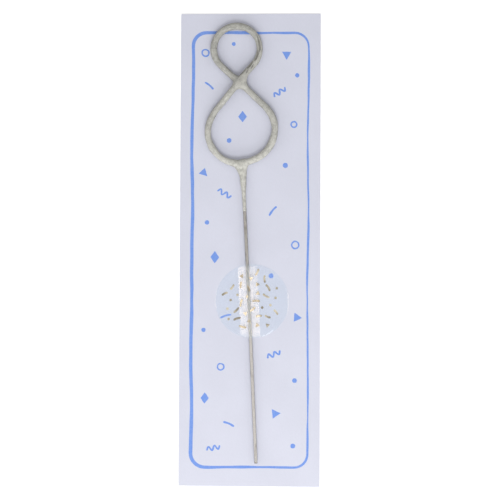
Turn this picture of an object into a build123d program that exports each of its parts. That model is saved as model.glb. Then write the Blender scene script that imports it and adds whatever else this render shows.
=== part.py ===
from build123d import *
from math import acos, asin, cos, degrees, radians, sin, sqrt, tan
import os

# A number-eight wire sparkler held on a backing card by a round clear seal, in millimetres.
# The card lies flat: its back face is on Z = 0, its centre is on the Z axis and its top edge is at +Y.

# Backing card
card_w = 56.7
card_l = 191.0
card_t = 0.45

# Wire: one length of steel, bent into the stem and the two loops
wire_d = 1.3
tip_x = 2.87  # cut tip, to the right of the card's middle line
tip_from_edge = 9.45  # cut tip, above the card's bottom edge
stem_lean = 2.73  # degrees that the stem's free end leans to the left
bare_l = 101.6  # bare stem, from the cut tip to the foot of the coat
bow_r = 9000.0  # faint bow of the bare stem above its straight free end
bend_r = 6.0  # bend from the stem into the lower loop
lower_r = 13.55  # lower loop's centre line
upper_r = 9.3  # upper loop's centre line
loop_gap = 10.15  # between the two loops' circles, where the strands cross
strand_gap = 0.2  # between the wires of the two strands at their crossing
level_l = 5.0  # level stretch of the upper strand over the crossing

# Coat of spark composition
coat_d = 2.8
coat_step = 0.05  # the coat's radius drops by this on the stem, and again round the bend
full_l = 5.5  # full coat on the stem, below the lower loop's centre line
cone_l = 8.7  # stretch where the coat thins out
skin_l = 4.8  # thin skin at the foot of the coat
skin_t = 0.1
web_t = 0.8  # coat that fills the corners between strands
cross_side_r = 5.3  # corner fillets of that filling, left and right of the crossing
cross_low_r = 4.0  # below the crossing
foot_web_r = 3.7  # right of the stem, under the lower loop

# Seal
seal_d = 29.8
film_t = 0.1
seal_from_tip = 65.0  # centre of the seal, along the stem from the cut tip
seal_offset = 1.2  # centre of the seal, to the right of the stem
seal_lead = 1.0  # straight free end stops this far short of the seal's edge
tent_slope = 31.5  # degrees, sides of the film where it climbs over the stem

# Clearances
lie_gap = 0.15  # between the coat and the card
seal_clear = 0.15  # between the wire and the film over it

# Worked out from the sizes above
wire_rise = lie_gap + coat_d / 2
coat_l = full_l + cone_l + skin_l
free_l = seal_from_tip - seal_d / 2 - seal_lead
bow_turn = (bare_l - free_l) / bow_r
lower_y = coat_l + lower_r
upper_y = lower_y + lower_r + upper_r + loop_gap
strand_turn = degrees(acos((lower_r + upper_r) / (upper_y - lower_y)))
cross_y = lower_y + lower_r / cos(radians(strand_turn))
cross_rise = wire_d + strand_gap
bend_turn = degrees(asin(bend_r / (lower_r + bend_r)))
bend_y = lower_y - sqrt(lower_r**2 + 2 * lower_r * bend_r)
end_turn = 180 - degrees(asin(wire_d / 2 / lower_r))

# Planes at the wire's level: the stem's starts at the cut tip, the head's at the foot of the coat
stem_plane = Plane(Location((tip_x, tip_from_edge - card_l / 2, card_t + wire_rise), (0, 0, stem_lean)))
bow_end = (bow_r * (cos(bow_turn) - 1), free_l + bow_r * sin(bow_turn))
head_plane = Plane(stem_plane.location * Location((*bow_end, 0), (0, 0, degrees(bow_turn))))


def on_stem(x, y):
    """A point across and along the stem, at the wire's level."""
    return stem_plane.from_local_coords((x, y, 0))


def on_head(x, y, z=0):
    """A point across and along the head, and above the wire's level."""
    return head_plane.from_local_coords((x, y, z))


def on_loop(centre_y, radius, turn):
    """A point on a loop, by its angle clockwise from the loop's top."""
    return on_head(radius * sin(radians(turn)), centre_y + radius * cos(radians(turn)))


def loop_arc(centre_y, radius, start, end):
    """An arc of a loop between two angles."""
    ThreePointArc(*(on_loop(centre_y, radius, turn) for turn in (start, (start + end) / 2, end)))


def climb(start, end):
    """Two arcs between a low and a high point, level at both."""
    middle = (start + end) * 0.5
    first = TangentArc(start, middle, tangent=Vector(end.X - start.X, end.Y - start.Y, 0))
    TangentArc(middle, end, tangent=first % 1)


def across(route):
    """The plane across the start of a route."""
    return Plane(origin=route.line @ 0, z_dir=route.line % 0)


# Centre lines: up the stem and round the bend to the left
with BuildLine() as stem_route:
    Line(on_stem(0, 0), on_stem(0, free_l))
    ThreePointArc(
        on_stem(0, free_l),
        on_stem(bow_r * (cos(bow_turn / 2) - 1), free_l + bow_r * sin(bow_turn / 2)),
        on_stem(*bow_end),
    )
    Line(on_head(0, 0), on_head(0, bend_y))
    half_bend = radians(90 - bend_turn) / 2
    ThreePointArc(
        on_head(0, bend_y),
        on_head(bend_r * (cos(half_bend) - 1), bend_y + bend_r * sin(half_bend)),
        on_loop(lower_y, lower_r, 180 + bend_turn),
    )

# Up the lower loop's left side, over the crossing and up the upper loop's right side
with BuildLine() as over_route:
    loop_arc(lower_y, lower_r, 180 + bend_turn, 360 - strand_turn)
    level_x = level_l / 2 * sin(radians(90 - strand_turn))
    level_y = level_l / 2 * cos(radians(90 - strand_turn))
    level_start = on_head(-level_x, cross_y - level_y, cross_rise)
    level_end = on_head(level_x, cross_y + level_y, cross_rise)
    climb(on_loop(lower_y, lower_r, 360 - strand_turn), level_start)
    Line(level_start, level_end)
    climb(level_end, on_loop(upper_y, upper_r, 180 - strand_turn))
    loop_arc(upper_y, upper_r, 180 - strand_turn, 0)

# Down the upper loop's left side, under the crossing and down the lower loop's right side
with BuildLine() as under_route:
    loop_arc(upper_y, upper_r, 0, strand_turn - 180)
    Line(on_loop(upper_y, upper_r, strand_turn - 180), on_loop(lower_y, lower_r, strand_turn))
    loop_arc(lower_y, lower_r, strand_turn, end_turn)

# The coat alone closes the lower loop at its foot
with BuildLine() as foot_left:
    loop_arc(lower_y, lower_r, 180, 180 + bend_turn)
with BuildLine() as foot_right:
    loop_arc(lower_y, lower_r, end_turn, 180)

# Backing card
with BuildPart() as backing_card:
    Box(card_w, card_l, card_t, align=(Align.CENTER, Align.CENTER, Align.MIN))

# Wire
with BuildPart() as wire:
    with BuildSketch(across(stem_route)):
        Circle(wire_d / 2)
    sweep(path=stem_route.edges() + over_route.edges() + under_route.edges())

# Coating: tubes round the loops and the bend, a tapering sleeve on the stem, and filled corners
with BuildPart() as coating:
    with BuildSketch(across(foot_left)):
        Circle(coat_d / 2)
    sweep(path=foot_left.edges() + over_route.edges())
    with BuildSketch(across(under_route)):
        Circle(coat_d / 2)
    sweep(path=under_route.edges() + foot_right.edges())
    bend = stem_route.edges()[-1]
    with BuildSketch(Plane(origin=bend @ 0, z_dir=bend % 0)):
        Circle(coat_d / 2 - 2 * coat_step)
    sweep(path=bend)
    sleeve_r = coat_d / 2 - coat_step
    skin_r = wire_d / 2 + skin_t
    with BuildSketch(head_plane):
        with BuildLine():
            Polyline(
                (0, 0),
                (skin_r, 0),
                (skin_r, skin_l),
                (sleeve_r, skin_l + cone_l),
                (sleeve_r, coat_l),
                (0, coat_l),
                close=True,
            )
        make_face()
    revolve(axis=Axis(head_plane.origin, head_plane.y_dir))
    # Filling in the corners of the crossing, between the levels of the two strands
    web_w = coat_d / 4
    arm_l = 2 * (cross_side_r + coat_d)
    cross_plane = Plane(origin=on_head(0, cross_y, cross_rise / 2), x_dir=head_plane.x_dir)
    with BuildSketch(cross_plane) as cross_plan:
        Rectangle(2 * web_w, arm_l, rotation=90 - strand_turn)
        Rectangle(2 * web_w, arm_l, rotation=strand_turn - 90)
        side_x = web_w / sin(radians(strand_turn))
        low_y = -web_w / cos(radians(strand_turn))
        for side in (-side_x, side_x):
            fillet(cross_plan.vertices().sort_by_distance((side, 0))[0], cross_side_r)
        fillet(cross_plan.vertices().sort_by_distance((0, low_y))[0], cross_low_r)
    extrude(amount=web_t / 2, both=True)
    # Filling in the corner right of the stem
    foot_w = sleeve_r - web_t / 2
    foot_reach = 2 * (foot_web_r + coat_d)
    foot_plane = Plane(origin=on_head(0, lower_y), x_dir=head_plane.x_dir)
    with BuildSketch(foot_plane) as foot_plan:
        Circle(lower_r + foot_w)
        Circle(lower_r - foot_w, mode=Mode.SUBTRACT)
        with Locations((0, -lower_r)):
            Rectangle(2 * foot_w, foot_reach / 2, align=(Align.CENTER, Align.MAX))
            Rectangle(foot_reach, foot_reach, mode=Mode.INTERSECT)
        corner = (foot_w, -sqrt((lower_r + foot_w) ** 2 - foot_w**2))
        fillet(foot_plan.vertices().sort_by_distance(corner)[0], foot_web_r)
    extrude(amount=web_t / 2, both=True)
    add(wire.part, mode=Mode.SUBTRACT)

# Seal: film that lies on the card and climbs over the stem
tunnel_r = wire_d / 2 + seal_clear
slope = radians(tent_slope)
film_plane = Plane(
    origin=stem_plane.from_local_coords((0, seal_from_tip, -wire_rise)),
    x_dir=stem_plane.x_dir,
    z_dir=-stem_plane.y_dir,
)
with BuildPart() as seal:
    with BuildSketch(film_plane):
        Rectangle(4 * seal_d, film_t, align=(Align.CENTER, Align.MIN))
        for radius, mode in ((tunnel_r + film_t, Mode.ADD), (tunnel_r, Mode.SUBTRACT)):
            side_x = radius * sin(slope)
            side_y = wire_rise + radius * cos(slope)
            foot_x = side_x + side_y / tan(slope)
            with BuildLine():
                Polyline((-side_x, side_y), (-foot_x, 0), (foot_x, 0), (side_x, side_y))
                ThreePointArc((side_x, side_y), (0, wire_rise + radius), (-side_x, side_y))
            make_face(mode=mode)
    extrude(amount=seal_d, both=True)
    seal_place = Location((seal_offset, seal_from_tip, -wire_rise))
    with BuildSketch(Plane(stem_plane.location * seal_place)):
        Circle(seal_d / 2)
    extrude(amount=wire_rise + tunnel_r + 2 * film_t, mode=Mode.INTERSECT)

# Where the stem and the loops lie, and the travel that draws the tip out of the seal
print("tip", on_stem(0, 0), "stem direction", stem_plane.y_dir, "free end", free_l)
print("lower loop", on_head(0, lower_y), "upper loop", on_head(0, upper_y))
print("travel", seal_from_tip + sqrt((seal_d / 2) ** 2 - seal_offset**2))
print("sparkler length", bare_l + upper_y + upper_r + coat_d / 2)

os.makedirs("parts", exist_ok=True)
for name, piece in (
    ("backing_card", backing_card),
    ("wire", wire),
    ("coating", coating),
    ("seal", seal),
):
    piece.part.label = name
    export_step(piece.part, f"parts/{name}.step")
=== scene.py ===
from math import acos, asin, atan2, ceil, cos, degrees, hypot, pi, radians, sin, sqrt, tan

import bpy
import numpy as np
from mathutils import Euler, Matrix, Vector, noise
from mathutils.geometry import delaunay_2d_cdt


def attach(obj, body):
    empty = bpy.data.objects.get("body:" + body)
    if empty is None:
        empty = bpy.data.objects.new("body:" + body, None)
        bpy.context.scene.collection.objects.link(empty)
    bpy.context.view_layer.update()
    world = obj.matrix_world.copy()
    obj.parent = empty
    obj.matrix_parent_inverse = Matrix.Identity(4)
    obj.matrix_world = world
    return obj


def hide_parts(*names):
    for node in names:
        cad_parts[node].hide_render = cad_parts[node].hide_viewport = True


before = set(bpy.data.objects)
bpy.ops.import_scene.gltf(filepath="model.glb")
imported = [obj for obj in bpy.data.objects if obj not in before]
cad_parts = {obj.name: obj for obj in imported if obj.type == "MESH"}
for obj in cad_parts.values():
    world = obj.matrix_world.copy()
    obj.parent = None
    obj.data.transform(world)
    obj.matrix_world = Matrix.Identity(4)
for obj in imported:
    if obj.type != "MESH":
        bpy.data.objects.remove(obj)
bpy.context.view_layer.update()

# Sizes are in millimetres, and turn into metres when a mesh is made
MM = 0.001

# Sizes of the solids that the pieces stand for
card_w, card_l, card_t = 56.7, 191.0, 0.45
wire_d, wire_level = 1.3, 2.0
tip_x, tip_y, stem_lean = 2.87, -86.05, 2.73
free_l, bare_l, bow_r = 49.1, 101.6, 9000.0
bend_r, lower_r, upper_r, loop_gap = 6.0, 13.55, 9.3, 10.15
coat_l, full_l, skin_l, skin_d, coat_d = 19.0, 5.5, 4.8, 1.5, 2.8
cross_rise, level_l = 1.5, 5.0
seal_d, seal_from_tip, seal_offset, tent_slope = 29.8, 65.0, 1.2, 31.5
film_t, seal_clear = 0.1, 0.15

# How far the crossing lies to the right of the head's middle line
cross_shift = 0.45

# Worked out as in the solids
bow_turn = (bare_l - free_l) / bow_r
lower_y = coat_l + lower_r
upper_y = lower_y + lower_r + upper_r + loop_gap
strand_turn = degrees(acos((lower_r + upper_r) / (upper_y - lower_y)))
cross_y = lower_y + lower_r / cos(radians(strand_turn))
bend_turn = degrees(asin(bend_r / (lower_r + bend_r)))
bend_y = lower_y - sqrt(lower_r**2 + 2 * lower_r * bend_r)


def turned(points, turn):
    """Points in the plane, turned anticlockwise by an angle in radians."""
    c, s = cos(turn), sin(turn)
    return np.asarray(points, float) @ np.array([[c, s], [-s, c]])


def from_stem(points):
    """Points across and along the stem, in the card's frame."""
    return turned(points, radians(stem_lean)) + (tip_x, tip_y)


bow_end = (bow_r * (cos(bow_turn) - 1), free_l + bow_r * sin(bow_turn))
head_foot = from_stem([bow_end])[0]
head_lean = radians(stem_lean) + bow_turn


def from_head(points):
    """Points across and along the head, in the card's frame."""
    return turned(points, head_lean) + head_foot


# The coat as it really runs: how far the lower loop is pushed out, and how thick both loops are.
# Angles run clockwise from the loop's top, in degrees.
lower_push = ((46, -0.2), (60, -0.2), (90, 0.2), (120, -0.05), (140, -0.25), (160, -0.5), (178, -0.3),
              (200, 0.1), (215, 0.2), (245, 0.0), (280, -0.15), (300, -0.4), (314, -0.3))
lower_width = ((46, 2.6), (75, 2.9), (92, 2.55), (118, 3.0), (135, 2.85), (160, 2.7), (180, 2.6),
               (200, 2.65), (222, 2.4), (240, 2.9), (256, 2.5), (270, 2.55), (290, 2.6), (314, 2.45))
upper_width = ((-134, 2.5), (-110, 2.7), (-90, 2.8), (-60, 2.7), (-30, 2.65), (0, 2.85), (30, 2.65),
               (60, 2.5), (95, 2.45), (115, 2.6), (134, 2.7))


def at_turn(table, turn):
    """A value from a table of angles and values."""
    return np.interp(turn, *zip(*table))


def loop_run(centre_y, radius, start, end, widths, push=None, step=0.15):
    """Points and widths along an arc of a loop."""
    turns = np.linspace(start, end, ceil(radians(abs(end - start)) * radius / step) + 1)
    reach = radius + (at_turn(push, turns) if push else 0)
    across, along = reach * np.sin(np.radians(turns)), centre_y + reach * np.cos(np.radians(turns))
    return np.column_stack([across, along, 0 * turns, at_turn(widths, turns)])


def straight_run(start, end, step=0.15):
    """Points and widths along a straight stretch between two ends."""
    count = ceil(np.linalg.norm(end[:2] - start[:2]) / step)
    return start + np.linspace(0, 1, count + 1)[1:-1, None] * (end - start)


def smooth(t):
    """Eases from 0 to 1."""
    t = np.clip(t, 0, 1)
    return t * t * (3 - 2 * t)


def settle(route):
    """A route with the strands below the crossing moved to the right, as the hand bent them."""
    along = route[:, 1]
    share = smooth((cross_y + 3 - along) / 4) * smooth((along - lower_y + 4) / 12)
    return route + np.outer(share, (cross_shift, 0, 0, 0))


# Up the stem and the lower loop's left side, over the crossing and up the upper loop's right side
shank_y = np.arange(0, bend_y, 0.15)
shank_d = coat_d - 0.2
cone_l = coat_l - full_l - skin_l
shank_w = skin_d + (shank_d - skin_d) * smooth((shank_y - skin_l) / cone_l)
shank = np.column_stack([0 * shank_y, shank_y, 0 * shank_y, shank_w])
bend_angles = np.radians(np.linspace(0, 90 - bend_turn, 50))
bend = np.column_stack([
    bend_r * (np.cos(bend_angles) - 1),
    bend_y + bend_r * np.sin(bend_angles),
    0 * bend_angles,
    np.full(len(bend_angles), shank_d),
])
left_side = loop_run(lower_y, lower_r, 180 + bend_turn, 360 - strand_turn, lower_width, lower_push)
upper_right = loop_run(upper_y, upper_r, 180 - strand_turn, 0, upper_width)
over = straight_run(left_side[-1], upper_right[0])
from_cross = np.linalg.norm(over[:, :2] - (0, cross_y), axis=1)
below = over[:, 1] < cross_y
ramp_l = np.where(below, lower_r, upper_r) * tan(radians(strand_turn)) - level_l / 2
over[:, 2] = cross_rise * smooth(1 - (from_cross - level_l / 2) / ramp_l)
over_route = settle(np.concatenate([shank, bend, left_side, over, upper_right]))

# Down the upper loop's left side, under the crossing, down the lower loop's right side to the stem
upper_left = loop_run(upper_y, upper_r, 0, strand_turn - 180, upper_width)
right_side = loop_run(lower_y, lower_r, strand_turn, 178, lower_width, lower_push)
under_route = settle(np.concatenate([upper_left, straight_run(upper_left[-1], right_side[0]), right_side]))

# The coat alone closes the lower loop at its foot
closing = loop_run(lower_y, lower_r, 178, 180 + bend_turn, ((178, 2.6), (198, 2.4)), lower_push)


def make_mesh(name, points, faces, materials, slots=None, even=True):
    """A mesh object from points in millimetres."""
    mesh = bpy.data.meshes.new(name)
    mesh.from_pydata((np.asarray(points) * MM).tolist(), [], [list(map(int, f)) for f in faces])
    for material in materials:
        mesh.materials.append(material)
    if slots is not None:
        mesh.polygons.foreach_set("material_index", slots)
    mesh.polygons.foreach_set("use_smooth", [even] * len(mesh.polygons))
    mesh.update()
    piece = bpy.data.objects.new(name, mesh)
    bpy.context.scene.collection.objects.link(piece)
    return piece


# Shader nodes


def new_material(name):
    """An empty node material and its tree."""
    material = bpy.data.materials.new(name)
    material.use_nodes = True
    material.node_tree.nodes.clear()
    return material, material.node_tree


def node(tree, kind, settings=None, **inputs):
    """A node with its settings, and its inputs set to values or joined to sockets."""
    made = tree.nodes.new("ShaderNode" + kind)
    for key, value in (settings or {}).items():
        setattr(made, key, value)
    for key, value in inputs.items():
        numbered = key[0] == "i" and key[1:].isdigit()
        socket = made.inputs[int(key[1:]) if numbered else key.replace("_", " ")]
        if isinstance(value, bpy.types.NodeSocket):
            tree.links.new(value, socket)
        else:
            socket.default_value = value
    return made


def calc(tree, operation, a, b=0.0, c=0.0):
    """A math node's result."""
    return node(tree, "Math", {"operation": operation}, i0=a, i1=b, i2=c).outputs[0]


def between(tree, value, low, high, start=0.0, end=1.0, ease="SMOOTHSTEP"):
    """A value moved from one range to another and held inside it."""
    settings = {"interpolation_type": ease, "clamp": True}
    made = node(tree, "MapRange", settings, i0=value, i1=low, i2=high, i3=start, i4=end)
    return made.outputs[0]


def blend(tree, share, a, b, kind="MIX"):
    """Two colours mixed."""
    made = node(tree, "Mix", {"data_type": "RGBA", "blend_type": kind}, i0=share, i6=a, i7=b)
    return made.outputs[2]


def grain(tree, place, scale, detail=2.0, rough=0.5):
    """Noise at a scale in cycles per metre."""
    return node(tree, "TexNoise", None, Vector=place, Scale=scale, Detail=detail, Roughness=rough).outputs[0]


def facing_up(tree, normal="Normal"):
    """How far the surface faces up: its normal's height."""
    way = node(tree, "NewGeometry").outputs[normal]
    return node(tree, "SeparateXYZ", None, Vector=way).outputs[2]


def principled(tree, colour, rough, bump, metal=0.0, gloss=0.5):
    """A principled shader."""
    looks = {"Base_Color": colour, "Roughness": rough, "Metallic": metal, "Normal": bump}
    return node(tree, "BsdfPrincipled", None, Specular_IOR_Level=gloss, **looks).outputs[0]


def output(tree, shader):
    """The tree's surface."""
    node(tree, "OutputMaterial", None, Surface=shader)


def object_place(tree, turn=0.0, stretch=(1, 1, 1)):
    """Object coordinates, turned about Z and stretched."""
    place = node(tree, "TexCoord").outputs["Object"]
    mapped = node(tree, "Mapping", {"vector_type": "TEXTURE"}, Vector=place, Rotation=(0, 0, turn))
    mapped.inputs["Scale"].default_value = stretch
    return mapped.outputs[0]


# Backing card: pale lilac uncoated board, and the blue ink printed on it


def paper(name, tone, core, ink=False):
    material, tree = new_material(name)
    place = object_place(tree)
    fibre = grain(tree, object_place(tree, 0.4, (1, 3.5, 1)), 2600, 3, 0.6)
    tooth = grain(tree, place, 5200, 2, 0.5)
    cloud = grain(tree, place, 55, 2, 0.5)
    shade = calc(tree, "MULTIPLY_ADD", fibre, 0.07, 0.965)
    shade = calc(tree, "MULTIPLY", shade, between(tree, cloud, 0.3, 0.7, 0.985, 1.015))
    colour = blend(tree, 1.0, tone, shade, "MULTIPLY")
    if ink:
        mottle = between(tree, grain(tree, place, 1400, 3, 0.6), 0.35, 0.75, 0.0, 0.12)
        colour = blend(tree, mottle, colour, core)
    else:
        # The cut edge shows the board's paler layers
        facing = calc(tree, "ABSOLUTE", facing_up(tree, "True Normal"))
        edge = between(tree, facing, 0.2, 0.6, 1.0, 0.0)
        plies = grain(tree, object_place(tree, 0, (6, 6, 0.35)), 2500, 3, 0.6)
        layers = between(tree, plies, 0.3, 0.7, 0.82, 1.0)
        colour = blend(tree, edge, colour, blend(tree, 1.0, core, layers, "MULTIPLY"))
    height = calc(tree, "MULTIPLY_ADD", fibre, 0.6, tooth)
    bump = node(tree, "Bump", None, Strength=0.25, Distance=0.00002, Height=height).outputs[0]
    smoothest, roughest = (0.62, 0.8) if ink else (0.72, 0.9)
    rough = between(tree, tooth, 0.3, 0.7, smoothest, roughest)
    output(tree, principled(tree, colour, rough, bump, gloss=0.3))
    return material


lilac = (0.698, 0.709, 0.81, 1)
core_white = (0.80, 0.795, 0.80, 1)
card_board = paper("card_board", lilac, core_white)
card_ink = paper("card_ink", (0.175, 0.325, 0.80, 1), lilac, ink=True)


def wobble(x, y, size, seed):
    """A small even-handed shift, as a hand-drawn line has."""
    return size * noise.noise((x, y, seed))


def closed_shape(x, y, reach, turn, seed, steps=48):
    """A hand-drawn outline round a place: reach gives its radius at each angle."""
    points = []
    for i in range(steps):
        angle = 2 * pi * i / steps
        r = reach(angle) * (1 + wobble(1.4 * cos(angle), 1.4 * sin(angle), 0.1, seed))
        points.append((x + r * cos(angle + turn), y + r * sin(angle + turn)))
    return points


def polygon_reach(sides, size, corner):
    """The radius of a polygon with soft corners."""
    inner = size * cos(pi / sides)

    def reach(angle):
        part = (angle + pi / sides) % (2 * pi / sides) - pi / sides
        flat = inner / cos(pi / sides - abs(part))
        return min(flat, size * corner + flat * (1 - corner))

    return reach


def brush(points, width, seed):
    """The outline of a brush stroke along points, with rounded ends."""
    points = np.asarray(points, float)
    ways = np.gradient(points, axis=0)
    ways /= np.linalg.norm(ways, axis=1)[:, None]
    sides = np.column_stack([-ways[:, 1], ways[:, 0]])
    halves = np.array([width / 2 * (1 + wobble(0.45 * i, 3.3, 0.3, seed)) for i in range(len(points))])
    left = points + sides * halves[:, None]
    right = (points - sides * halves[:, None])[::-1]

    def cap(centre, way, half):
        angle = atan2(way[1], way[0])
        return [centre + half * np.array([cos(angle + t), sin(angle + t)]) for t in np.linspace(1.2, -1.2, 7)]

    end = cap(points[-1], ways[-1], halves[-1])
    start = cap(points[0], -ways[0], halves[0])
    return [tuple(p) for p in (*left, *end, *right, *start)]


def dot(x, y, size, turn, seed):
    return [closed_shape(x, y, lambda angle: size / 2, turn, seed)]


def ring(x, y, size, turn, seed):
    line = 0.62
    return [
        closed_shape(x, y, lambda angle: size / 2, turn, seed),
        closed_shape(x, y, lambda angle: size / 2 - line, turn, seed + 5),
    ]


def triangle(x, y, size, turn, seed):
    return [closed_shape(x, y, polygon_reach(3, 0.62 * size, 0.25), turn, seed)]


def diamond(x, y, size, turn, seed):
    outline = closed_shape(x, y, polygon_reach(4, 0.6 * size, 0.2), pi / 2, seed)
    return [[(x + 0.72 * (p - x), q) for p, q in outline]]


def curl(x, y, size, turn, seed):
    steps = np.linspace(-0.5, 0.5, 33)
    wave = np.column_stack([size * steps, 0.16 * size * np.sin(4.2 * pi * steps)])
    return [brush(turned(wave, turn) + (x, y), 0.72, seed)]


def dash(x, y, size, turn, seed):
    steps = np.linspace(-0.5, 0.5, 13)
    arc = np.column_stack([size * steps, 0.22 * size * (0.25 - steps**2)])
    return [brush(turned(arc, turn) + (x, y), 0.78, seed)]


def rounded_box(width, length, corner, step=1.0):
    """An outline of a rounded rectangle, anticlockwise, and its outward directions."""
    points, outward = [], []
    for quarter, (sx, sy) in enumerate(((1, 1), (-1, 1), (-1, -1), (1, -1))):
        centre = np.array([sx * (width / 2 - corner), sy * (length / 2 - corner)])
        for t in np.linspace(0, pi / 2, 9):
            way = np.array([cos(t + quarter * pi / 2), sin(t + quarter * pi / 2)])
            points.append(centre + corner * way)
            outward.append(way)
        # Along the side to the next corner
        side = (width, length)[quarter % 2] - 2 * corner
        count = ceil(round(side / step, 6))
        along = turned([(0, 1)], (quarter + 1) * pi / 2)[0]
        last, way = points[-1], outward[-1]
        for i in range(1, count):
            points.append(last + along * side * i / count)
            outward.append(way)
    return np.array(points), np.array(outward)


def frame_line(width, length, corner, seed):
    """A hand-drawn closed line: its outer and its inner outline."""
    points, outward = rounded_box(width, length, corner)
    outer, inner = [], []
    for p, way in zip(points, outward):
        shift = wobble(0.035 * p[0], 0.035 * p[1], 0.55, seed)
        shift += wobble(0.16 * p[0], 0.16 * p[1], 0.12, seed + 4)
        half = 0.53 - 0.006 * p[0] + wobble(0.11 * p[0], 0.11 * p[1], 0.16, seed + 9)
        outer.append(tuple(p + way * (shift + half)))
        inner.append(tuple(p + way * (shift - half)))
    return [outer, inner]


prints = frame_line(46.9, 175.5, 5.5, 2.0)
for seed, (shape, x, y, size, turn) in enumerate((
    (ring, -18.4, 79.6, 3.4, 0.0),
    (triangle, 14.6, 78.9, 3.6, 0.5),
    (dot, 18.9, 70.4, 1.7, 0.0),
    (curl, 11.8, 63.6, 5.4, 0.6),
    (dash, -16.8, 66.2, 3.8, -0.7),
    (dot, -6.9, 83.2, 1.6, 0.0),
    (diamond, -3.2, 53.6, 4.0, 0.0),
    (dot, -8.6, 43.9, 1.9, 0.0),
    (ring, 17.6, 50.4, 2.9, 0.0),
    (triangle, -18.9, 30.9, 3.3, 1.3),
    (dot, 14.2, 33.8, 2.1, 0.0),
    (curl, -10.4, 22.4, 5.6, -0.5),
    (dash, 9.2, 15.3, 4.0, 0.9),
    (dot, -17.4, 10.6, 1.8, 0.0),
    (ring, 18.3, 1.6, 3.5, 0.0),
    (diamond, -14.2, -3.4, 4.2, 0.0),
    (dot, 8.6, -10.9, 2.0, 0.0),
    (dash, -9.6, -27.2, 3.9, 0.3),
    (triangle, 19.0, -27.6, 3.5, 2.0),
    (dot, -18.6, -32.8, 1.7, 0.0),
    (curl, 9.8, -42.5, 5.4, 0.4),
    (ring, -11.6, -47.6, 3.2, 0.0),
    (dot, 18.2, -53.0, 1.9, 0.0),
    (diamond, -18.0, -60.2, 3.9, 0.0),
    (triangle, 10.4, -66.3, 3.6, 0.1),
    (dash, -8.2, -70.6, 4.0, -0.4),
    (dot, 17.6, -79.2, 2.0, 0.0),
    (curl, -14.4, -80.2, 5.2, 0.2),
)):
    prints += shape(x, y, size, turn, 11.3 + 1.7 * seed)


def anticlockwise(outline):
    """An outline, turned round where it runs clockwise."""
    x, y = np.array(outline).T
    area = np.sum(x * np.roll(y, -1) - y * np.roll(x, -1))
    return outline if area > 0 else outline[::-1]


def sheet(name, rim, prints, spots, lift, thick, bevel, materials, under=0):
    """A thin closed sheet with printed shapes cut into its upper face. rim(inset) gives its outline."""
    inner, outer = rim(bevel), rim(0)
    outlines = [inner, *map(anticlockwise, prints)]
    plan = [Vector(p) for outline in outlines for p in outline] + [Vector(p) for p in spots]
    marks, start = [], 0
    for outline in outlines:
        marks.append(list(range(start, start + len(outline))))
        start += len(outline)
    flat, _, tris, sources, _, owners = delaunay_2d_cdt(plan, [], marks, 1, 1e-6)
    flat = np.array([tuple(p) for p in flat])
    place = {s: i for i, found in enumerate(sources) for s in found}
    count, edge = len(flat), len(inner)
    top = np.column_stack([flat, lift(flat)])
    base = lift(np.array(outer))
    upper = np.column_stack([outer, base - bevel])
    lower = np.column_stack([outer, base - thick + bevel])
    points = np.concatenate([top, top - (0, 0, thick), upper, lower])
    faces = [tuple(t) for t in tris] + [tuple(count + i for i in reversed(t)) for t in tris]
    slots = [(len(o) + 1) % 2 for o in owners] + [under] * len(tris)
    for i in range(edge):
        j = (i + 1) % edge
        a, b = place[i], place[j]
        c, d = 2 * count + i, 2 * count + j
        e, f = c + edge, d + edge
        faces += [(b, a, c, d), (d, c, e, f), (f, e, count + a, count + b)]
        slots += [0, 0, 0]
    return make_mesh(name, points, faces, materials, slots, even=False)


card_corner, card_bevel = 0.35, 0.06


def card_rim(inset):
    """The card's outline."""
    return rounded_box(card_w - 2 * inset, card_l - 2 * inset, card_corner - inset, 4.0)[0].tolist()


def card_height(points):
    """The card's upper face."""
    return np.full(len(points), card_t)


card = sheet("printed_card", card_rim, prints, (), card_height, card_t, card_bevel, (card_board, card_ink))
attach(card, "card")
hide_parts("backing_card")


# Wire: drawn steel, browned near the coat, with a blunt cut end


def drawn_steel():
    material, tree = new_material("steel_wire")
    place = object_place(tree)
    turn = radians(stem_lean)
    streak = grain(tree, object_place(tree, turn, (1, 40, 1)), 5200, 3, 0.6)
    fine = grain(tree, object_place(tree, turn, (1, 90, 1)), 16000, 2, 0.5)
    blotch = grain(tree, object_place(tree, turn, (1, 5, 1)), 420, 4, 0.65)
    along = node(tree, "SeparateXYZ", None, Vector=place).outputs[1]
    browned = between(tree, calc(tree, "MULTIPLY_ADD", blotch, 0.03, along), -0.034, 0.026)
    colour = blend(tree, browned, (0.465, 0.442, 0.414, 1), (0.318, 0.30, 0.273, 1))
    colour = blend(tree, between(tree, streak, 0.38, 0.65, 0.0, 0.25), colour, (0.52, 0.50, 0.473, 1))
    colour = blend(tree, between(tree, blotch, 0.52, 0.68, 0.0, 0.45), colour, (0.15, 0.138, 0.124, 1))
    stain = grain(tree, object_place(tree, turn, (1, 3.5, 1)), 950, 3, 0.6)
    stained = calc(tree, "MULTIPLY", browned, between(tree, stain, 0.5, 0.64, 0.0, 0.5))
    colour = blend(tree, stained, colour, (0.13, 0.12, 0.108, 1))
    # Painted light and shade: its sides are coloured darker and its upper side a little lighter, as light
    # falls on a round wire
    painted_side_shade = between(tree, facing_up(tree), 0.2, 0.9, 0.62, 1.04)
    colour = blend(tree, 1.0, colour, painted_side_shade, "MULTIPLY")
    # Painted shade: the wire is coloured dark at its cut end
    cut = between(tree, along, (tip_y + 0.1) * MM, (tip_y + 0.9) * MM, 0.75, 0.0)
    colour = blend(tree, cut, colour, (0.10, 0.09, 0.08, 1))
    rough = between(tree, streak, 0.3, 0.7, 0.36, 0.24)
    bump = node(tree, "Bump", None, Strength=0.35, Distance=0.00002, Height=fine).outputs[0]
    metal = between(tree, blotch, 0.5, 0.8, 0.8, 0.55)
    output(tree, principled(tree, colour, rough, bump, metal))
    return material


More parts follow.
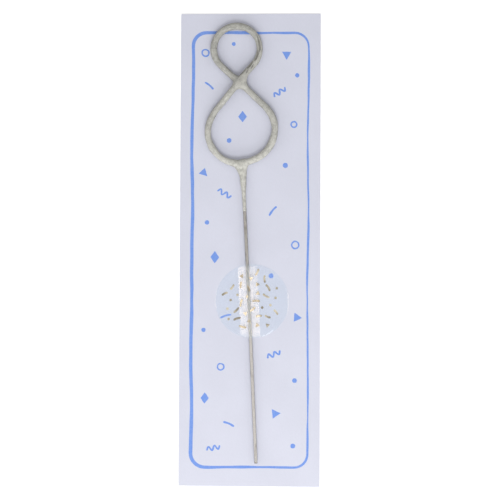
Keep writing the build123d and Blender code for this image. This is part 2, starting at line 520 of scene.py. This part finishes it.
def tube(name, route, sides, materials):
    """A tube along points with a radius at each: rows of x, y, z and radius."""
    centres, radii = route[:, :3], route[:, 3]
    ways = np.gradient(centres, axis=0)
    ways /= np.linalg.norm(ways, axis=1)[:, None]
    side = np.cross(ways[0], (0, 0, 1.0))
    points, faces = [], []
    for centre, way, radius in zip(centres, ways, radii):
        side -= way * (side @ way)
        side /= np.linalg.norm(side)
        other = np.cross(way, side)
        for i in range(sides):
            angle = 2 * pi * i / sides
            points.append(centre + radius * (cos(angle) * side + sin(angle) * other))
    for row in range(len(centres) - 1):
        for i in range(sides):
            j = (i + 1) % sides
            a, b = row * sides, (row + 1) * sides
            faces.append((a + i, a + j, b + j, b + i))
    last = (len(centres) - 1) * sides
    faces.append(tuple(reversed(range(sides))))
    faces.append(tuple(range(last, last + sides)))
    return make_mesh(name, points, faces, materials)


half = wire_d / 2
free_y = np.concatenate([[0, 0.05, 0.12, 0.22, 0.4], np.arange(1.2, free_l, 1.6)])
bow_y = np.arange(free_l, bare_l, 1.6)
bow = (bow_y - free_l) / bow_r
stem = np.concatenate([
    np.column_stack([0 * free_y, free_y]),
    np.column_stack([bow_r * (np.cos(bow) - 1), free_l + bow_r * np.sin(bow)]),
])
stem = np.column_stack([from_stem(stem), np.full(len(stem), wire_level), np.full(len(stem), half)])
# The cut tip is slightly rounded
stem[:4, 3] = half * np.array([0.8, 0.91, 0.97, 0.995])
inside = np.concatenate([over_route[::4], under_route[::4]])
head = np.column_stack([from_head(inside[:, :2]), wire_level + inside[:, 2], np.full(len(inside), half)])
wire = tube("steel_wire", np.concatenate([stem, head]), 20, (drawn_steel(),))
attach(wire, "sparkler")
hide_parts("wire")


# Coat: spheres along the strands make a field, which runs together at the crossing and at the foot

cell = 0.16
strands = []
for run in (over_route, under_route, closing):
    strands.append(np.column_stack([from_head(run[:, :2]), wire_level + run[:, 2], run[:, 3] / 2]))
everywhere = np.concatenate(strands)
margin = 2.6
low = everywhere[:, :3].min(0) - margin
low[2] = card_t - 0.4
high = everywhere[:, :3].max(0) + margin
grid = np.ceil((high - low) / cell).astype(int)
axes = [low[i] + cell * np.arange(grid[i]) for i in range(3)]


def near(centre, reach):
    """The part of the grid within reach of a point, and its coordinates."""
    spans = []
    for i in range(3):
        start = max(int((centre[i] - reach - low[i]) / cell), 0)
        end = min(int((centre[i] + reach - low[i]) / cell) + 2, grid[i])
        spans.append(slice(start, end))
    x, y, z = (axes[i][spans[i]] for i in range(3))
    return tuple(spans), x[:, None, None], y[None, :, None], z[None, None, :]


def ball_field(balls, reach=3.2):
    """How far each grid point is outside a row of balls."""
    field = np.full(grid, 9.0, np.float32)
    for x, y, z, r in balls:
        part, gx, gy, gz = near((x, y, z), reach)
        distance = np.sqrt((gx - x) ** 2 + (gy - y) ** 2 + (gz - z) ** 2) - r
        np.minimum(field[part], distance, out=field[part])
    return field


def melt(a, b, blend_l):
    """Two fields run together over a length, which may differ from place to place."""
    share = np.maximum(blend_l - np.abs(a - b), 0) / np.maximum(blend_l, 1e-6)
    return np.minimum(a, b) - share**2 * blend_l / 4


def spot(x, y, spread_x, spread_y, turn=0.0):
    """A soft patch over the grid, 1 at its middle."""
    dx, dy = axes[0][:, None] - x, axes[1][None, :] - y
    across = dx * cos(turn) + dy * sin(turn)
    along = dy * cos(turn) - dx * sin(turn)
    return np.exp(-((across / spread_x) ** 2) - (along / spread_y) ** 2)[:, :, None]


over_field, under_field, close_field = (ball_field(balls) for balls in strands)
cross_x0, cross_y0 = from_head([(0.5, cross_y - 2.0)])[0]
foot_x0, foot_y0 = from_head([(0.6, lower_y - lower_r - 1.0)])[0]
at_cross = 3.4 * spot(cross_x0, cross_y0, 4.4, 3.0)
at_foot = 2.3 * spot(foot_x0, foot_y0, 5.0, 4.2)
coat_field = melt(melt(over_field, under_field, at_cross + at_foot), close_field, at_foot)

# Fillings beside the crossing and the stem: ends on the head, rise, radius and length of blending
fill_count = 14
for start, end, rise, fill_r, fill_blend in (
    ((2.35, cross_y - 1.3), (2.35, cross_y + 1.3), 0.8, 1.05, 1.5),
    ((-0.75, cross_y - 1.3), (-0.75, cross_y + 1.3), 0.8, 1.05, 1.5),
    ((-0.6, 14.6), (-1.9, 17.6), 0.0, 0.8, 1.0),
    ((0.35, 14.8), (0.95, 17.4), 0.0, 0.9, 1.1),
):
    fill = from_head(np.linspace(start, end, fill_count))
    balls = np.column_stack([fill, np.full(fill_count, wire_level + rise), np.full(fill_count, fill_r)])
    coat_field = melt(coat_field, ball_field(balls), np.float32(fill_blend))


def top_of_strand(x, y):
    """The height of the rising strand's upper side over a place on the card."""
    strand = strands[0]
    apart = np.hypot(strand[:, 0] - x, strand[:, 1] - y)
    nearest = apart.argmin()
    return strand[nearest, 2] + sqrt(max(strand[nearest, 3] ** 2 - apart[nearest] ** 2, 0.1))


# Folds that the bending left on the upper loop's right strand: places on the card, and radius
folds = []
for ends, fold_r in (
    (((2.6, 86.4), (3.45, 83.9), (3.85, 81.3), (3.7, 79.6)), 0.40),
    (((2.95, 80.2), (2.75, 78.6), (2.2, 77.0), (1.75, 76.0)), 0.50),
    (((0.85, 75.5), (-0.2, 74.1), (-1.3, 72.7)), 0.46),
    (((1.3, 74.3), (0.2, 72.6)), 0.22),
    (((-0.9, 72.2), (-1.6, 70.6)), 0.24),
    (((-2.1, 72.1), (-3.4, 70.7), (-4.7, 69.4)), 0.28),
):
    line = np.concatenate([np.linspace(a, b, 20) for a, b in zip(ends, ends[1:])])
    tops = [top_of_strand(*place) for place in line]
    taper = np.sin(np.linspace(0.35, pi - 0.35, len(line)))
    balls = np.column_stack([line, tops, fold_r * taper])
    coat_field = -melt(-coat_field, ball_field(balls, 1.2), np.float32(0.2))
    folds.extend(balls)
coat_field = -melt(-coat_field, (axes[2] - card_t - 0.06)[None, None, :], np.float32(0.05))


def unpinched(field):
    """The field with grid points taken inside where its surface would touch itself across a corner."""
    field = field.copy()
    for u, v in ((0, 1), (0, 2), (1, 2)) * 3:
        corners = []
        for du in (slice(None, -1), slice(1, None)):
            for dv in (slice(None, -1), slice(1, None)):
                corners.append(field[tuple({u: du, v: dv}.get(i, slice(None)) for i in range(3))])
        a, b, c, d = ((corner < 0).copy() for corner in corners)
        pinched = (a == d) & (b == c) & (a != b)
        for corner in corners:
            corner[pinched & (corner >= 0)] = -0.004
    return field


def skin(field):
    """Points and quads over the field's surface."""
    inside = field < 0
    cells = tuple(n - 1 for n in field.shape)
    total = np.zeros((*cells, 3))
    count = np.zeros(cells)
    rings = []
    for axis in range(3):
        first = tuple(slice(None, -1) if i == axis else slice(None) for i in range(3))
        second = tuple(slice(1, None) if i == axis else slice(None) for i in range(3))
        edge = np.argwhere(inside[first] != inside[second])
        start, end = field[first][tuple(edge.T)], field[second][tuple(edge.T)]
        point = edge.astype(float)
        point[:, axis] += start / (start - end)
        u, v = (i for i in range(3) if i != axis)
        ring = []
        for du, dv in ((0, 0), (-1, 0), (-1, -1), (0, -1)):
            around = edge.copy()
            around[:, u] += du
            around[:, v] += dv
            np.add.at(total, tuple(around.T), point)
            np.add.at(count, tuple(around.T), 1)
            ring.append(np.ravel_multi_index(tuple(around.T), cells))
        ring = np.stack(ring, 1)
        flip = (start < 0) == (axis == 1)
        ring[flip] = ring[flip][:, ::-1]
        rings.append(ring)
    used = np.flatnonzero(count.ravel())
    number = np.full(count.size, -1)
    number[used] = np.arange(len(used))
    points = total.reshape(-1, 3)[used] / count.ravel()[used, None]
    return low + cell * points, number[np.concatenate(rings)]


def relax(points, quads, rounds):
    """Points eased towards the middle of their neighbours."""
    pairs = np.concatenate([quads[:, (i, (i + 1) % 4)] for i in range(4)])
    for _ in range(rounds):
        total = np.zeros_like(points)
        count = np.zeros(len(points))
        np.add.at(total, pairs[:, 0], points[pairs[:, 1]])
        np.add.at(count, pairs[:, 0], 1)
        points = 0.5 * points + 0.5 * total / count[:, None]
    return points


def lumpy(piece):
    """Low lumps and grit over a piece, along its normals."""
    mesh = piece.data
    for vertex, normal in zip(mesh.vertices, [v.normal.copy() for v in mesh.vertices]):
        p = vertex.co / MM
        lump = 0.06 * noise.noise(p * 0.5) + 0.04 * noise.noise(p * 1.3) + 0.02 * noise.noise(p * 3.7)
        vertex.co += normal * lump * MM


def spark_coat():
    material, tree = new_material("spark_coat")
    place = object_place(tree)
    coarse = grain(tree, place, 900, 4, 0.65)
    grit = grain(tree, place, 4200, 3, 0.65)
    dust = grain(tree, place, 11000, 2, 0.6)
    cloud = grain(tree, place, 160, 3, 0.6)
    colour = blend(tree, between(tree, coarse, 0.37, 0.63), (0.41, 0.406, 0.37, 1), (0.56, 0.555, 0.508, 1))
    colour = blend(tree, between(tree, cloud, 0.42, 0.62, 0.0, 0.6), colour, (0.61, 0.60, 0.55, 1))
    colour = blend(tree, between(tree, grit, 0.52, 0.72, 0.0, 0.5), colour, (0.27, 0.266, 0.245, 1))
    colour = blend(tree, between(tree, dust, 0.6, 0.75, 0.0, 0.5), colour, (0.72, 0.71, 0.66, 1))
    # The coat is paler towards the stem. Painted light and shade: it is also coloured paler on its upper side
    # and darker on its sides
    apart = node(tree, "SeparateXYZ", None, Vector=place)
    paler = between(tree, apart.outputs[1], 0.02, 0.08, 1.11, 0.81)
    painted_shading = between(tree, facing_up(tree), 0.0, 1.0, 0.8, 1.065, "LINEAR")
    paler = calc(tree, "MULTIPLY", paler, painted_shading)
    colour = blend(tree, 1.0, colour, paler, "MULTIPLY")
    # Metal flecks in the composition
    cells = node(tree, "TexVoronoi", None, Vector=place, Scale=3600.0)
    pick = node(tree, "SeparateColor", None, Color=cells.outputs["Color"]).outputs[0]
    speck = between(tree, cells.outputs["Distance"], 0.22, 0.34, 1.0, 0.0)
    fleck = calc(tree, "MULTIPLY", between(tree, pick, 0.86, 0.88), speck)
    colour = blend(tree, fleck, colour, (0.74, 0.73, 0.70, 1))
    # Painted shade: folds are coloured darker inside
    painted_fold_shade = node(tree, "Attribute", {"attribute_name": "painted_fold_shade"}).outputs["Fac"]
    colour = blend(tree, calc(tree, "MULTIPLY", painted_fold_shade, 0.7), colour, (0.15, 0.146, 0.13, 1))
    # A hairline crack across the upper loop's left strand: a dent in the bump, and painted shade along it
    waver = calc(tree, "MULTIPLY_ADD", coarse, 0.0005, -0.08125)
    off_line = calc(tree, "ABSOLUTE", calc(tree, "ADD", apart.outputs[1], waver))
    on_left = between(tree, apart.outputs[0], -0.0128, -0.0122, 1.0, 0.0)
    crack = calc(tree, "MULTIPLY", between(tree, off_line, 0.00004, 0.00013, 1.0, 0.0), on_left)
    colour = blend(tree, calc(tree, "MULTIPLY", crack, 0.7), colour, (0.13, 0.125, 0.11, 1))
    height = calc(tree, "MULTIPLY_ADD", grit, 0.7, calc(tree, "MULTIPLY", dust, 0.35))
    height = calc(tree, "SUBTRACT", height, crack)
    bump = node(tree, "Bump", None, Strength=0.6, Distance=0.00008, Height=height).outputs[0]
    rough = between(tree, fleck, 0, 1, 0.82, 0.35, "LINEAR")
    metal = calc(tree, "MULTIPLY", fleck, 0.8)
    output(tree, principled(tree, colour, rough, bump, metal, gloss=0.35))
    return material


points, quads = skin(unpinched(coat_field))
points = relax(points, quads, 3)
to_fold = np.full(len(points), 9.0)
for ball in folds:
    np.minimum(to_fold, np.linalg.norm(points - ball[:3], axis=1) - ball[3], out=to_fold)
coat = make_mesh("spark_coat", points, quads, (spark_coat(),))
# Painted shade inside the folds, kept on the mesh for the coat's colour
painted_fold_shade = coat.data.attributes.new("painted_fold_shade", "FLOAT", "POINT")
painted_fold_shade.data.foreach_set("value", smooth(1 - (to_fold + 0.05) / 0.2))
lumpy(coat)
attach(coat, "sparkler")
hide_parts("coating")


# Seal: clear film, stuck down on both sides of the stem and tented over it

tunnel_r = wire_d / 2 + seal_clear
slope = radians(tent_slope)
peak = wire_level + tunnel_r + film_t
seal_turn = radians(stem_lean)
seal_x, seal_y = from_stem([(seal_offset, seal_from_tip)])[0]
seal_t, seal_bevel, seal_steps = 0.07, 0.015, 160


def film_height(points):
    """The film's upper face: flat on the card, climbing to a round ridge over the stem."""
    points = np.asarray(points, float)
    across = turned(points - (tip_x, tip_y), -seal_turn)
    shift = np.array([wobble(0.21 * p[0], 0.13 * p[1], 0.16, 4.0) for p in points])
    x = np.abs(across[:, 0])
    ridge_r = tunnel_r + film_t
    side_x, side_z = ridge_r * sin(slope), wire_level + ridge_r * cos(slope)
    round_top = wire_level + np.sqrt(np.maximum(ridge_r**2 - x**2, 0))
    sloped = side_z - (x - side_x) * tan(slope)
    roof = np.where(x < side_x, round_top, sloped) + shift * smooth((x - 1.2) / 1.5)
    stuck = card_t + film_t
    # A soft bend where the film leaves the card
    gap, soft = roof - stuck, 0.12
    return stuck + 0.5 * (gap + np.sqrt(gap**2 + soft**2)) - soft / 4


def seal_rim(inset):
    """The seal's outline."""
    reach = seal_d / 2 - inset
    angles = [2 * pi * i / seal_steps for i in range(seal_steps)]
    return [(seal_x + reach * cos(angle), seal_y + reach * sin(angle)) for angle in angles]


tent_x = np.concatenate([np.arange(-5.6, 5.61, 0.28), np.arange(-14, -6, 1.5), np.arange(6.5, 14, 1.5)])
spots = from_stem([(x, seal_from_tip + y) for x in tent_x for y in np.arange(-14.2, 14.3, 0.8)])
spots = [p for p in spots if hypot(p[0] - seal_x, p[1] - seal_y) < seal_d / 2 - 0.3]

# A plain foil print: confetti in an even scatter
foil_count, golden_turn = 34, 2.39996
foil = []
for i in range(foil_count):
    angle, reach = golden_turn * i, 2.06 * sqrt(i + 0.6)
    x, y = seal_x + reach * cos(angle), seal_y + reach * sin(angle)
    shape, length = ((dash, 2.3), (dot, 1.05), (dash, 1.8), (triangle, 1.7))[i % 4]
    foil += shape(x, y, length, 1.9 * i, 3.1 + i)


def clear_film():
    material, tree = new_material("seal_film")
    streak = grain(tree, object_place(tree, seal_turn, (1, 26, 1)), 1500, 3, 0.6)
    haze = grain(tree, object_place(tree), 700, 3, 0.6)
    bump = node(tree, "Bump", None, Strength=0.25, Distance=0.00006, Height=streak).outputs[0]
    rough = between(tree, haze, 0.3, 0.7, 0.14, 0.24)
    clear = node(tree, "BsdfTransparent", None, Color=(0.985, 0.996, 1, 1)).outputs[0]
    body = principled(tree, (0.50, 0.70, 1, 1), rough, bump)
    gloss = principled(tree, (1, 1, 1, 1), rough, bump, metal=1.0)
    edge = node(tree, "LayerWeight", None, Blend=0.5, Normal=bump).outputs["Facing"]
    shine = calc(tree, "MULTIPLY_ADD", calc(tree, "POWER", edge, 4.0), 0.25, 0.05)
    shine = calc(tree, "MULTIPLY", shine, between(tree, streak, 0.3, 0.7, 0.7, 1.3))
    film = node(tree, "MixShader", None, i0=0.035, i1=clear, i2=body).outputs[0]
    output(tree, node(tree, "MixShader", None, i0=shine, i1=film, i2=gloss).outputs[0])
    return material


def film_glue():
    material, tree = new_material("seal_glue")
    haze = grain(tree, object_place(tree), 900, 3, 0.6)
    clear = node(tree, "BsdfTransparent", None, Color=(0.985, 0.996, 1, 1)).outputs[0]
    body = node(tree, "BsdfDiffuse", None, Color=(0.62, 0.76, 1, 1)).outputs[0]
    cover = between(tree, haze, 0.3, 0.7, 0.0, 0.02)
    output(tree, node(tree, "MixShader", None, i0=cover, i1=clear, i2=body).outputs[0])
    return material


def foil_print():
    material, tree = new_material("seal_foil")
    place = object_place(tree)
    wear = grain(tree, place, 2400, 3, 0.6)
    patch = grain(tree, place, 260, 2, 0.5)
    colour = blend(tree, between(tree, patch, 0.35, 0.65), (0.24, 0.215, 0.17, 1), (0.52, 0.48, 0.385, 1))
    bump = node(tree, "Bump", None, Strength=0.3, Distance=0.00003, Height=wear).outputs[0]
    rough = between(tree, wear, 0.3, 0.7, 0.5, 0.66)
    output(tree, principled(tree, colour, rough, bump, metal=1.0))
    return material


film_looks = (clear_film(), foil_print(), film_glue())
seal = sheet("clear_seal", seal_rim, foil, spots, film_height, seal_t, seal_bevel, film_looks, under=2)
rim_faces = 3 * seal_steps
smooth_faces = len(seal.data.polygons) - rim_faces
seal.data.polygons.foreach_set("use_smooth", [True] * smooth_faces + [False] * rim_faces)
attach(seal, "card")
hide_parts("seal")


# Floor, light and camera


def seen_rays(tree):
    """1 for rays that show the background: from the camera, and by reflection or through film."""
    rays = node(tree, "LightPath")
    seen = calc(tree, "MAXIMUM", rays.outputs["Is Camera Ray"], rays.outputs["Is Glossy Ray"])
    return calc(tree, "MAXIMUM", seen, rays.outputs["Is Transmission Ray"])


def floor_white():
    material, tree = new_material("floor_white")
    place = node(tree, "TexCoord").outputs["Object"]
    away = node(tree, "VectorMath", {"operation": "LENGTH"}, i0=place).outputs["Value"]
    lift = between(tree, away, 0.3, 1.6, 0.4, 0.62)
    plain = node(tree, "BsdfDiffuse", None, Color=(0.82, 0.82, 0.82, 1)).outputs[0]
    strength = calc(tree, "MULTIPLY", seen_rays(tree), lift)
    glow = node(tree, "Emission", None, Color=(1, 1, 1, 1), Strength=strength).outputs[0]
    output(tree, node(tree, "AddShader", None, i0=plain, i1=glow).outputs[0])
    return material


floor_half, floor_z = 3000, -0.1
floor_points = [(floor_half * x, floor_half * y, floor_z) for x, y in ((-1, -1), (1, -1), (1, 1), (-1, 1))]
floor = make_mesh("floor", floor_points, [(0, 1, 2, 3)], (floor_white(),), even=False)

world = bpy.data.worlds.new("studio")
world.use_nodes = True
sky = world.node_tree
sky.nodes.clear()
way = node(sky, "SeparateXYZ", None, Vector=node(sky, "TexCoord").outputs["Generated"])
overhead = calc(sky, "POWER", calc(sky, "MAXIMUM", way.outputs[2], 0.0), 2.0)
dome = calc(sky, "MULTIPLY_ADD", overhead, 0.48, 0.235)
plain = node(sky, "Background", None, Color=(1, 1, 1, 1), Strength=dome).outputs[0]
white = node(sky, "Background", None, Color=(1, 1, 1, 1), Strength=1.0).outputs[0]
mixed = node(sky, "MixShader", None, i0=seen_rays(sky), i1=plain, i2=white).outputs[0]
node(sky, "OutputWorld", None, Surface=mixed)
bpy.context.scene.world = world


def softbox(name, place, width, height, power, aim=(0, 0, 0), gloss_of=None):
    """An area lamp turned towards a point, or a panel that only shows in the gloss of one group of pieces."""
    lamp = bpy.data.lights.new(name, "AREA")
    lamp.shape = "RECTANGLE"
    lamp.size, lamp.size_y, lamp.energy = width, height, power
    lamp.color = (1, 0.8, 0.58) if gloss_of else (1, 1, 1)
    holder = bpy.data.objects.new(name, lamp)
    holder.location = place
    holder.rotation_euler = (Vector(aim) - Vector(place)).to_track_quat("-Z", "Y").to_euler()
    holder.visible_diffuse = gloss_of is None
    holder.visible_camera = False
    holder.light_linking.receiver_collection = gloss_of
    bpy.context.scene.collection.objects.link(holder)


softbox("key", (0.023, -0.42, 0.62), 0.42, 0.25, 1.89)
softbox("front", (0.037, -0.72, 0.26), 0.42, 0.5, 2.68)
softbox("left", (-0.78, -0.05, 0.45), 0.9, 0.5, 1.15)
softbox("right", (0.78, -0.05, 0.45), 0.9, 0.5, 0.96)
# Two small panels beside the seal draw the bright strips on the film's slopes
ridge = Vector((seal_x, seal_y, peak)) * MM
film = bpy.data.collections.new("film")
film.objects.link(seal)
for side in (-1, 1):
    softbox("panel", ridge + Vector((0.07 * side, 0, 0.036)), 0.038, 0.036, 0.0205, ridge, gloss_of=film)

# The photograph was taken from half a metre, slightly from the lower right
camera_data = bpy.data.cameras.new("camera")
camera_data.lens = 89.04
camera_data.clip_start, camera_data.clip_end = 0.01, 20.0
camera = bpy.data.objects.new("camera", camera_data)
camera.rotation_euler = Euler((radians(1.692), radians(1.908), radians(0.25)), "XYZ")
aim = Vector((0.000041, -0.000463, 0.0))
camera.location = aim + camera.rotation_euler.to_matrix() @ Vector((0, 0, 0.5))
bpy.context.scene.collection.objects.link(camera)
bpy.context.scene.camera = camera

bpy.context.scene.view_settings.view_transform = "Standard"
